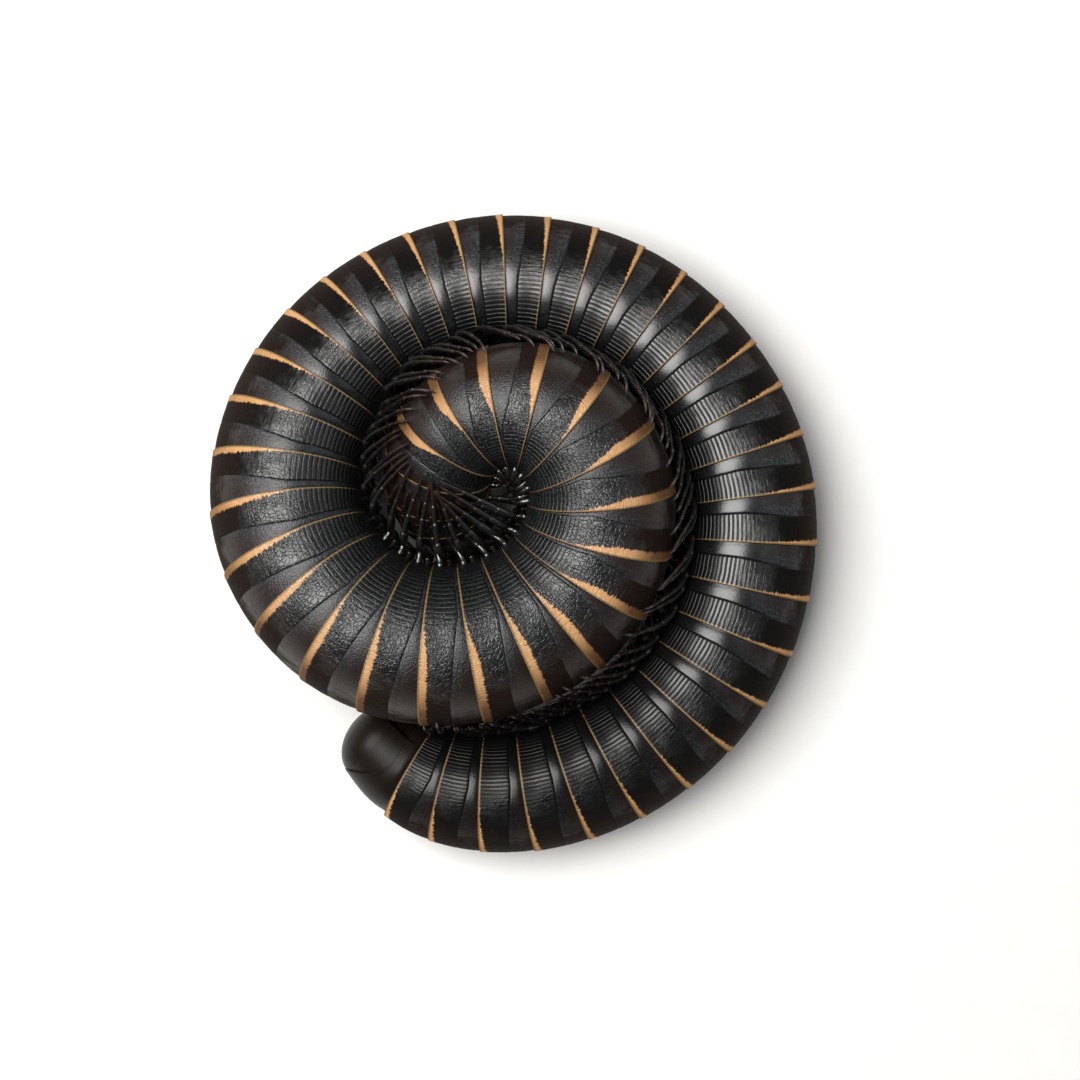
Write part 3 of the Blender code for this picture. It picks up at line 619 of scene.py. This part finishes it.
def leg_axes(rings, orders, hand, lie):
    """Axis lines (leg, point, xyz): out from the belly to the knee, then on to the tip.

    With w the share of the way from knee to tip, distance out grows as w^1.6, rise and trail as w, and
    the whole is drawn to the tip's aim by w^1.5. The hand is 1 for the upper legs and -1 for the lower.
    """
    table = np.array(lie, float)
    values = [np.interp(rings, table[:, 0], table[:, i])[:, None] for i in range(1, 8)]
    knee_rise, knee_out, knee_trail, tip_rise, tip_out, tip_trail, drawn = values
    tip_out = tip_out * LUCK.uniform(0.90, 1.10, tip_out.shape)
    tip_trail = tip_trail * LUCK.uniform(0.85, 1.15, tip_trail.shape)
    knee_rise = knee_rise + LUCK.uniform(-2.5, 2.5, tip_rise.shape)
    under = (rings[:, None] < LAYERED_RINGS) & (orders[:, None] % 2 == 1) & (hand > 0)
    knee_rise = knee_rise - UNDER_LAYER_SUNK * under
    tip_rise = tip_rise - UNDER_LAYER_SUNK * under
    root_rise = hand * (LEG_ROOT_ANGLE + LEG_ROOT_STAGGER * (orders[:, None] % 2))
    steps = np.linspace(0, 1, LEG_POINTS)[None, :]
    to_surface = np.clip(steps / ROOT_SHARE, 0, 1)
    to_knee = np.clip((steps - ROOT_SHARE) / (KNEE_SHARE - ROOT_SHARE), 0, 1)
    to_tip = np.clip((steps - KNEE_SHARE) / (1 - KNEE_SHARE), 0, 1)
    rise = root_rise + (knee_rise - root_rise) * to_knee + (tip_rise - knee_rise) * to_tip
    out = -LEG_ROOT_DEPTH + (LEG_ROOT_DEPTH + LEG_ROOT_OUT) * to_surface
    out = out + (knee_out - LEG_ROOT_OUT) * to_knee + (tip_out - knee_out) * to_tip**1.6
    along = rings[:, None] + knee_trail * to_knee + (tip_trail - knee_trail) * to_tip
    along = np.minimum(along, ROUTE[-1][0])
    centres, radii, _, backs, sides = body_frames(along)
    angle = np.radians(rise + route(along)[..., 4])
    spoke = -np.cos(angle)[..., None] * backs + np.sin(angle)[..., None] * sides
    points = centres + (radii + out)[..., None] * spoke
    aims = tip_aims(rings, along[:, -1], points[:, -1])
    drawn = drawn * np.where(under, UNDER_LAYER, 1.0)
    points += (drawn * to_tip**1.5)[..., None] * (aims - points[:, -1])[:, None]
    push_clear(points)
    return points


def tubes(lines, radii, sides):
    """Round tubes (tube, row, place round, xyz) along lines, the cross axes carried on without twist."""
    ways = unit(np.gradient(lines, axis=1))
    across = np.empty_like(ways)
    now = np.cross(ways[:, 0], NEARLY_UP)
    for row in range(lines.shape[1]):
        now = unit(now - ways[:, row] * np.sum(now * ways[:, row], -1, keepdims=True))
        across[:, row] = now
    other = np.cross(ways, across)
    turn = 2 * math.pi * np.arange(sides) / sides
    ring = np.cos(turn)[:, None] * across[:, :, None] + np.sin(turn)[:, None] * other[:, :, None]
    return lines[:, :, None] + radii[..., None, None] * ring


def even_points(lines, shares):
    """Points of each line at given shares of its length."""
    gone = np.linalg.norm(np.diff(lines, axis=1), axis=-1).cumsum(1)
    gone = np.concatenate((0 * gone[:, :1], gone), 1) / gone[:, -1:]
    found = [[np.interp(shares, gone[i], lines[i, :, k]) for k in range(3)] for i in range(len(lines))]
    return np.moveaxis(np.array(found), 1, 2)


def leg_rows():
    """Share of the leg's length and radius of each row: six waisted segments and a claw."""
    rows = []
    for start, end, radius in zip(SEGMENT_ENDS, SEGMENT_ENDS[1:], SEGMENT_RADII):
        rows += [(start + (end - start) * at, radius * wide) for at, wide in SEGMENT_LINE]
    return np.array(rows + list(CLAW_LINE))


def leg_cuticle():
    """Thin hard cuticle, near black and glossy, red-brown at the tips, with pale soft skin in the joints."""
    surface, tree, shader, spot = new_surface("glossy_leg_cuticle")
    place = add(tree, "Attribute", {}, out="Fac", attribute_name="leg_place")
    joint = add(tree, "Attribute", {}, out="Fac", attribute_name="joint")
    clouds = add(tree, "TexNoise", {"Vector": spot, "Scale": 1000 / 0.8, "Detail": 3.0})
    dark = add(tree, "Mix", {0: clouds, 6: "#060505", 7: "#12100e"}, **IN_COLOUR)
    to_tip = add(tree, "MapRange", {"Value": place, "From Min": 0.62, "From Max": 0.95, "To Max": 0.9})
    colour = add(tree, "Mix", {0: to_tip, 6: dark, 7: "#26140e"}, **IN_COLOUR)
    colour = add(tree, "Mix", {0: joint, 6: colour, 7: "#2b221b"}, **IN_COLOUR)
    fine = add(tree, "TexNoise", {"Vector": spot, "Scale": 1000 / 0.1, "Detail": 2.0})
    fill_chitin(tree, shader, colour, 0.24, 0.85, fine, 0.000012)
    return surface


leg_surface = leg_cuticle()
leg_line = leg_rows()
pair_rings = np.array([ring - 1 + place for ring in range(2, LAST_LEG_RING + 1)
                       for place in ((SINGLE_PLACE,) if ring in SINGLE_PAIR_RINGS else PAIR_PLACES)])
pair_orders = np.array([2 * ring + pair for ring in range(2, LAST_LEG_RING + 1)
                        for pair in range(1 if ring in SINGLE_PAIR_RINGS else 2)])
upper_axes = leg_axes(pair_rings, pair_orders, 1, UPPER_LEGS)
lower_axes = leg_axes(pair_rings, pair_orders, -1, LOWER_LEGS)
joint_rows = np.r_[np.outer(JOINT_ON_SEGMENT, JOINT_ON_ROW).ravel(), np.zeros(len(CLAW_LINE))]
for number, (first, last) in enumerate(zip(LENGTH_STARTS, last_rings), 1):
    here = (pair_rings > first - 1) & (pair_rings < last)
    lines = even_points(np.concatenate((upper_axes[here], lower_axes[here])), leg_line[:, 0])
    radii = np.broadcast_to(leg_line[:, 1], lines.shape[:2])
    grid = tubes(lines, radii, LEG_SIDES)
    marks = {
        "leg_place": np.broadcast_to(leg_line[None, :, None, 0], grid.shape[:3]),
        "joint": np.broadcast_to(joint_rows[None, :, None], grid.shape[:3]),
    }
    legs = skin(f"legs_{number:02d}", grid, marks)
    legs.data.materials.append(leg_surface)
    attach(legs, "root")
    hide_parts(f"trunk_{number:02d}")

# Collar plate: a plain, hard shield of the same limy cuticle behind the head, narrowed at the neck. Its
# free edge slides over the ring behind it, and only a hair line of the orange band runs along it.
COLLAR_LINE = (
    (0.14, 1.25), (0.15, 1.0), (0.17, 0.85), (0.20, 0.70), (0.26, 0.50), (0.34, 0.32), (0.42, 0.20),
    (0.50, 0.13), (0.58, 0.10), (0.66, 0.08), (0.74, 0.07), (0.82, 0.06), (0.88, 0.045), (0.92, 0.03),
    (0.95, 0.015), (0.97, 0.005), (0.985, 0.0), (0.995, 0.01), (1.0, 0.035), (1.001, 0.10), (0.985, 0.15),
    (0.95, 0.20),
)
PLAIN_FROM = 0.5         # least place for its pattern, which has no pitted front and no seam
points, marks = ring_grid(1, 1, COLLAR_LINE)
marks["ring_place"] = np.maximum(marks["ring_place"], PLAIN_FROM)
collar = skin("collar_plate", points[None], marks)
collar.data.materials.append(ring_surface)
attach(collar, "root")
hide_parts("collum")

# Tail: the last ring is smooth. Its thin margin is drawn back over the spine and curves forwards on the
# flanks, round two domed valves with a small scale below them. All are smooth, satin cuticle.
TAIL_RING_END = 52.3
MARGIN_ON_FLANK = 51.45
MARGIN_REACH = 1.05      # rings further back at the spine
MARGIN_BELOW = 0.2       # and further back at the belly
VALVE_LENGTH = 2.4
VALVE_SHARE = 0.93       # of the body's radius
VALVE_TUCK = 0.22        # rings that a valve begins before the margin
VALVE_SIDE_ROWS = 14
VALVE_END_ROWS = 33
RIDGE_HEIGHT = 0.10
RIDGE_WIDTH = 0.22
SCALE_TOP_SHARE = 0.62
PIECE_GAP = 0.06
UNCUT = 9.0              # further from the axis than anything on the tail
TAIL_COLUMNS = 180
TAIL_TURN = 2 * math.pi * np.arange(TAIL_COLUMNS) / TAIL_COLUMNS
# Share of the way to the margin, and how far the surface lies below the body's radius.
PREANAL_LINE = (
    (0.0, 0.33), (0.05, 0.32), (0.12, 0.27), (0.20, 0.21), (0.30, 0.16), (0.42, 0.13), (0.55, 0.115),
    (0.68, 0.11), (0.80, 0.11), (0.89, 0.10), (0.95, 0.085), (0.98, 0.085), (1.0, 0.11), (1.0, 0.17),
    (0.99, 0.24), (0.95, 0.34),
)


def smooth_cuticle(name, dark, light, roughness, level=0.5):
    """Unpatterned waxed cuticle: a satin dielectric of IOR 1.56, its brown-black clouded over 1.5 mm.

    The level is the strength of its reflection, 0.5 for clean wax and less where it is rubbed.
    """
    surface, tree, shader, spot = new_surface(name)
    clouds = add(tree, "TexNoise", {"Vector": spot, "Scale": 1000 / 1.5, "Detail": 4.0})
    colour = add(tree, "Mix", {0: clouds, 6: dark, 7: light}, **IN_COLOUR)
    rough = add(tree, "MapRange", {"Value": clouds, "To Min": roughness - 0.06, "To Max": roughness + 0.08})
    fine = add(tree, "TexNoise", {"Vector": spot, "Scale": 1000 / 0.12, "Detail": 2.0})
    fill_chitin(tree, shader, colour, rough, level, fine, 0.000008)
    return surface


def margin(turn):
    """Ring number of the last ring's margin: its place on the flank, more by the cosine's power above."""
    above, below = np.clip(np.cos(turn), 0, 1), np.clip(-np.cos(turn), 0, 1)
    return MARGIN_ON_FLANK + MARGIN_REACH * above ** 1.5 + MARGIN_BELOW * below


def preanal_grid():
    """The last ring, each row a share of the way from the ring in front of it to the margin."""
    line = np.array(PREANAL_LINE)[:, :, None]
    ring = LAST_RING + line[:, 0] * (margin(TAIL_TURN) - LAST_RING)
    centre, reach, spoke = ring_outline(ring, TAIL_TURN + 0 * line[:, 0])
    return centre + (reach - line[:, 1])[..., None] * spoke


def valve_grid(x_side, low, high):
    """The tail's end from under the margin to its tip, cut by flat faces at the slit and at the scale.

    Up to the ring's end a row follows the body's outline; from there on the radius falls as cos(angle)
    while the way back grows as sin(angle), and a low ridge follows the slit. The x_side is 1 for the left
    valve, -1 for the right and 0 for the scale, which has no slit.
    """
    start = np.minimum(margin(TAIL_TURN) - VALVE_TUCK, TAIL_RING_END - 0.05)
    share = np.linspace(0, 1, VALVE_SIDE_ROWS)[:, None]
    end_angles = np.linspace(0, math.pi / 2 - 0.02, VALVE_END_ROWS + 1)[1:]
    angle = np.concatenate((np.zeros(VALVE_SIDE_ROWS), end_angles))[:, None]
    end_rings = np.full((VALVE_END_ROWS, TAIL_COLUMNS), TAIL_RING_END)
    ring = np.concatenate((start + share * (TAIL_RING_END - start), end_rings))
    centre, radius, rear, back, side = body_frames(ring)
    size = radius * VALVE_SHARE * np.cos(angle)
    across = size * np.sin(TAIL_TURN)
    up = np.clip(size * np.cos(TAIL_TURN), low, high)
    ridge = RIDGE_HEIGHT * np.exp(-(across / RIDGE_WIDTH) ** 2) * (angle > 0) * abs(x_side)
    behind = VALVE_LENGTH * np.sin(angle) + ridge * np.sin(angle)
    if x_side:
        across = x_side * np.maximum(across * x_side, PIECE_GAP / 2)
    up = up * (1 + ridge / 4)
    return centre + across[..., None] * side + up[..., None] * back + behind[..., None] * rear


def placed(points, origin, axes):
    """Points in a set of axes brought into the model."""
    return origin + sum(points[..., [i]] * axes[i] for i in range(3))


tail_surface = smooth_cuticle("rubbed_tail_cuticle", "#0d0a07", "#1b140d", 0.40, 0.14)
scale_top = -SCALE_TOP_SHARE * VALVE_SHARE * body_frames(TAIL_RING_END)[1]
tail_grids = {
    "preanal_ring": preanal_grid(),
    "anal_valve_left": valve_grid(1, scale_top + PIECE_GAP, UNCUT),
    "anal_valve_right": valve_grid(-1, scale_top + PIECE_GAP, UNCUT),
    "subanal_scale": valve_grid(0, -UNCUT, scale_top),
}
for name, grid in tail_grids.items():
    piece = skin(name + "_skin", grid[None], {})
    piece.data.materials.append(tail_surface)
    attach(piece, "root")
    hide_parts(name)

# Head: a domed capsule of smooth dark cuticle, tucked into the middle of the coil. Its cheeks are the
# base plates of the jaws, a lower lip closes it behind, and a dense patch of lenses lies on each side.
HEAD_RING = 0.12         # where the neck leaves the collar plate
HEAD_FORWARD = 2.75
HEAD_SIZE = (3.35, 2.3, 3.3)
HEAD_ROWS = 64
HEAD_COLUMNS = 120
LOBE_ROWS = 26
LOBE_COLUMNS = 72
LENS_WAVE = 46.0         # lenses 0.3 mm apart, which is coarser than real
head_centre, _, rear, back, side = body_frames(HEAD_RING)
head_axes = (-side, -rear, back)
head_origin = head_centre - rear * HEAD_FORWARD


def head_shape(way, lift=0.0):
    """Head surface in directions from its middle: an ellipsoid drawn in below, with a notch for the lip."""
    x, y, z = way[..., 0], way[..., 1], way[..., 2]
    below = np.clip(-z, 0, None)
    x = x * (1 - 0.22 * below**2)
    y = y * np.where(y < 0, 0.82, 1.0) + 0.10 * below * (1 - y)
    notch = 0.10 * np.exp(-(x / 0.16) ** 2) * below**3
    z = z * (0.97 - 0.06 * (1 - np.abs(x))) + notch
    return np.stack((x, y, z), -1) * (np.array(HEAD_SIZE) + np.asarray(lift)[..., None])


def globe(rows, columns):
    """Directions (row, column, xyz) over a sphere, its poles at front and back."""
    angle = np.linspace(0.02, math.pi - 0.02, rows)[:, None]
    turn = 2 * math.pi * np.arange(columns) / columns
    x, y, z = np.sin(angle) * np.cos(turn), np.cos(angle) + 0 * turn, np.sin(angle) * np.sin(turn)
    return np.stack((x, y, z), -1)


def lobe(way, half, lift, thick, lenses=0.0):
    """A rounded plate on the head: directions round its middle in an ellipse, domed by 1 - share squared.

    The last rows turn in under the plate by its thickness, so it is closed. Lenses add a lattice of bumps.
    """
    share = np.array(list(np.linspace(0.02, 1.0, LOBE_ROWS)) + [1.02, 1.0, 0.7, 0.3])[:, None]
    under = np.array([0.0] * LOBE_ROWS + [0.5, 1.0, 1.0, 1.0])[:, None]
    turn = 2 * math.pi * np.arange(LOBE_COLUMNS) / LOBE_COLUMNS
    way = unit(np.array(way, float))
    across = unit(np.cross(way, (0.0, 0.0, 1.0)))
    up = np.cross(across, way)
    i, j = share * np.cos(turn) * half[0], share * np.sin(turn) * half[1]
    spread = unit(way + i[..., None] * across + j[..., None] * up)
    rise = lift * (1 - share**2) * (under == 0) - thick * under
    lattice = np.clip(np.cos(i * LENS_WAVE) * np.cos(j * LENS_WAVE), 0, 1) ** 0.5
    bump = lenses * lattice * (under == 0) * (share < 0.93)
    return head_shape(spread, rise + bump)


head_surface = smooth_cuticle("waxed_head_cuticle", "#0a0908", "#1a1613", 0.30)
eye_surface = smooth_cuticle("polished_lens_cuticle", "#030304", "#08080a", 0.16)
ways = globe(HEAD_ROWS, HEAD_COLUMNS)
# The mouth is drawn in low down behind, and a fine parting line runs over the crown.
mouth = np.clip(-ways[..., 2] * 2.2 - 0.1, 0, 1) * np.clip(-ways[..., 1] * 2.2 - 0.2, 0, 1)
parting = 0.05 * np.exp(-(ways[..., 0] / 0.02) ** 2) * (ways[..., 2] > 0.1)
head_pieces = {
    "head": (head_shape(ways, -0.45 * mouth - parting), head_surface),
    "mandible_left": (lobe((-0.72, -0.42, -0.45), (0.44, 0.46), 0.10, 0.35), head_surface),
    "mandible_right": (lobe((0.72, -0.42, -0.45), (0.44, 0.46), 0.10, 0.35), head_surface),
    "lower_lip": (lobe((0.0, -0.62, -0.72), (0.31, 0.55), 0.06, 0.35), head_surface),
    "eye_left": (lobe((-0.80, 0.38, 0.40), (0.17, 0.26), 0.10, 0.20, 0.06), eye_surface),
    "eye_right": (lobe((0.80, 0.38, 0.40), (0.17, 0.26), 0.10, 0.20, 0.06), eye_surface),
}
for name, (grid, surface) in head_pieces.items():
    piece = skin(name + "_skin", placed(grid, head_origin, head_axes)[None], {})
    piece.data.materials.append(surface)
    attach(piece, "root")
    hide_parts(name)

# Feelers: short and stiff, of seven satin brown segments that widen forwards, the last a small blunt
# cone. Each is socketed in the head in front of the eye, and hangs down before the face.
FEELER_ROUTE = ((2.05, 2.35, 0.2), (2.45, 2.7, -0.6), (2.35, 2.65, -1.7), (1.9, 2.55, -2.7),
                (1.3, 2.4, -3.5))
FEELER_ENDS = (0.0, 0.10, 0.30, 0.48, 0.65, 0.81, 0.95)
FEELER_RADII = (0.30, 0.24, 0.26, 0.27, 0.30, 0.30)
FEELER_CONE = ((0.955, 0.2), (0.975, 0.18), (0.99, 0.12), (1.0, 0.04))
FEELER_POINTS = 40
FEELER_SIDES = 16
feeler_surface = smooth_cuticle("satin_feeler_cuticle", "#1c100a", "#3a2114", 0.32)
feeler_segments = zip(FEELER_ENDS, FEELER_ENDS[1:], FEELER_RADII)
feeler_rows = [(start + (end - start) * at, radius * wide)
               for start, end, radius in feeler_segments for at, wide in SEGMENT_LINE]
feeler_rows = np.array(feeler_rows + list(FEELER_CONE))
for hand, name in ((-1, "antenna_left"), (1, "antenna_right")):
    stations = np.array(FEELER_ROUTE) * (hand, 1, 1)
    at = np.linspace(0, len(stations) - 1, FEELER_POINTS)
    line = np.stack([np.interp(at, range(len(stations)), stations[:, k]) for k in range(3)], -1)
    for _ in range(SMOOTH_ROUNDS):
        line[1:-1] = (line[:-2] + 2 * line[1:-1] + line[2:]) / 4
    line = placed(line, head_origin, head_axes)
    grid = tubes(even_points(line[None], feeler_rows[:, 0]), feeler_rows[None, :, 1], FEELER_SIDES)
    piece = skin(name + "_skin", grid, {})
    piece.data.materials.append(feeler_surface)
    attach(piece, "root")
    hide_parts(name)

# Floor and light: a plain pale floor of matt paper, one broad soft light above, to the left, a much
# weaker one from the right, and a faint grey sky.
FLOOR_SIZE = 900.0
SKY_STRENGTH = 0.10


def floor():
    """A flat sheet, level with what the coil rests on."""
    half = FLOOR_SIZE / 2000
    corners = [(-half, -half, 0), (half, -half, 0), (half, half, 0), (-half, half, 0)]
    mesh = bpy.data.meshes.new("floor")
    mesh.from_pydata(corners, [], [(0, 1, 2, 3)])
    made = bpy.data.objects.new("floor", mesh)
    bpy.context.scene.collection.objects.link(made)
    surface, tree, shader, spot = new_surface("matt_white_paper")
    grain = add(tree, "TexNoise", {"Vector": spot, "Scale": 1000 / 3.0, "Detail": 4.0})
    colour = add(tree, "Mix", {0: grain, 6: "#f1f0ee", 7: "#f7f6f4"}, **IN_COLOUR)
    fill(tree, shader, {"Base Color": colour, "Roughness": 0.85})
    mesh.materials.append(surface)


def soft_light(name, place, aim, size, power, colour):
    """A square area light at a place, turned to a point, both in mm. Size in mm, power in watts."""
    data = bpy.data.lights.new(name, "AREA")
    data.size = size / 1000
    data.energy = power
    data.color = colour
    made = bpy.data.objects.new(name, data)
    way = np.array(aim, float) - place
    made.location = Vector(place) / 1000
    made.rotation_euler = Vector(way).to_track_quat("-Z", "Y").to_euler()
    bpy.context.scene.collection.objects.link(made)


floor()
soft_light("key", (-125, 40, 310), (0, 0, 8), 220, 1.6, (1.0, 0.99, 0.97))
soft_light("fill", (200, 60, 240), (0, 0, 8), 260, 0.12, (0.94, 0.97, 1.0))
world = bpy.data.worlds.new("studio")
world.use_nodes = True
world.node_tree.nodes["Background"].inputs["Color"].default_value = linear("#e8ebee")
world.node_tree.nodes["Background"].inputs["Strength"].default_value = SKY_STRENGTH
bpy.context.scene.world = world
bpy.context.scene.view_settings.view_transform = "Standard"

# Camera: straight above, framed as the photograph is.
CAMERA_HEIGHT = 175.0
CAMERA_PLACE = (1.77, -0.46)
FRAME_WIDTH = 80.4       # seen at the height below
FRAME_LEVEL = 6.0
camera = bpy.data.cameras.new("camera")
camera.sensor_width = 36
camera.lens = 36 * (CAMERA_HEIGHT - FRAME_LEVEL) / FRAME_WIDTH
camera_object = bpy.data.objects.new("camera", camera)
camera_object.location = (CAMERA_PLACE[0] / 1000, CAMERA_PLACE[1] / 1000, CAMERA_HEIGHT / 1000)
bpy.context.scene.collection.objects.link(camera_object)
bpy.context.scene.camera = camera_object
